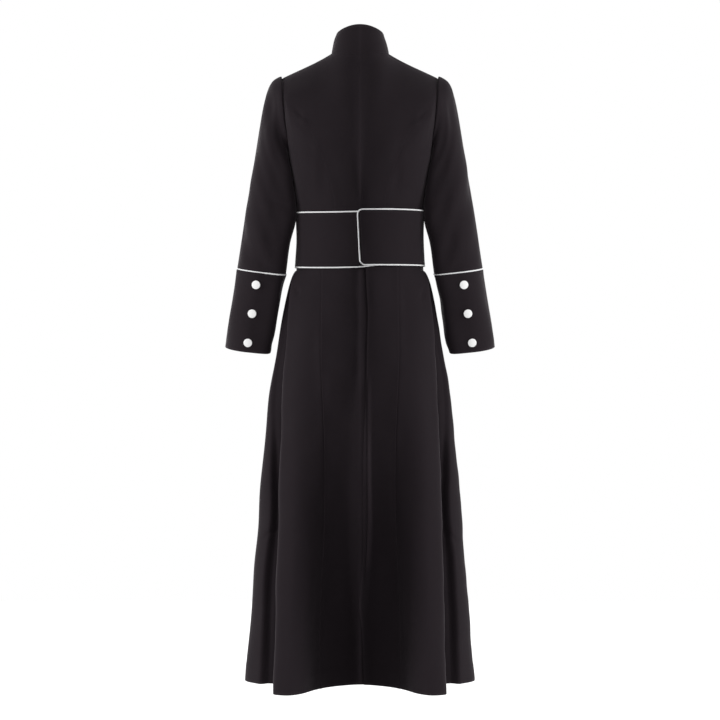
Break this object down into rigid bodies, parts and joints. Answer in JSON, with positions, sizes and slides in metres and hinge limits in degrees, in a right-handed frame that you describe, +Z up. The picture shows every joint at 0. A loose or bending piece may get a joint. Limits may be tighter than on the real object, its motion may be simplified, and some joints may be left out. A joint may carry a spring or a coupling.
{
  "type": "cassock",
  "caption": "Ankle-length black cassock with a stand collar, deep buttoned cuffs and a wide lapped belt, edged in white piping and filled out as worn.",
  "frame": {"origin": "the middle of the neck, level with the foot of the collar at the side of the neck, where the shoulders carry the cloth", "axes": "+Z up, the garment faces -Y, +X is the wearer's left and +Y its back"},
  "size_m": [0.583, 0.4503, 1.3925],
  "materials": {
    "black_suiting": "matt woven suiting with a faint sheen",
    "white_piping": "matt white corded piping",
    "white_button": "smooth white domed button"
  },
  "bodies": {
    "root": {"collar": "black_suiting", "bodice_back_left": "black_suiting", "bodice_back_right": "black_suiting", "bodice_side_left": "black_suiting", "bodice_side_right": "black_suiting", "bodice_front_left": "black_suiting", "bodice_front_right": "black_suiting", "skirt_back_left": "black_suiting", "skirt_back_right": "black_suiting", "skirt_side_left": "black_suiting", "skirt_side_right": "black_suiting", "skirt_front_left": "black_suiting", "skirt_front_right": "black_suiting", "sleeve_left": "black_suiting", "sleeve_right": "black_suiting", "cuff_left": "black_suiting", "cuff_right": "black_suiting", "belt": "black_suiting", "belt_piping": "white_piping", "cuff_piping_left": "white_piping", "cuff_piping_right": "white_piping", "cuff_button_left_1": "white_button", "cuff_button_left_2": "white_button", "cuff_button_left_3": "white_button", "cuff_button_right_1": "white_button", "cuff_button_right_2": "white_button", "cuff_button_right_3": "white_button", "front_button_01": "white_button", "front_button_02": "white_button", "front_button_03": "white_button", "front_button_04": "white_button", "front_button_05": "white_button", "front_button_06": "white_button", "front_button_07": "white_button", "front_button_08": "white_button", "front_button_09": "white_button", "front_button_10": "white_button", "front_button_11": "white_button", "front_button_12": "white_button", "front_button_13": "white_button", "front_button_14": "white_button"}
  },
  "joints": []
}
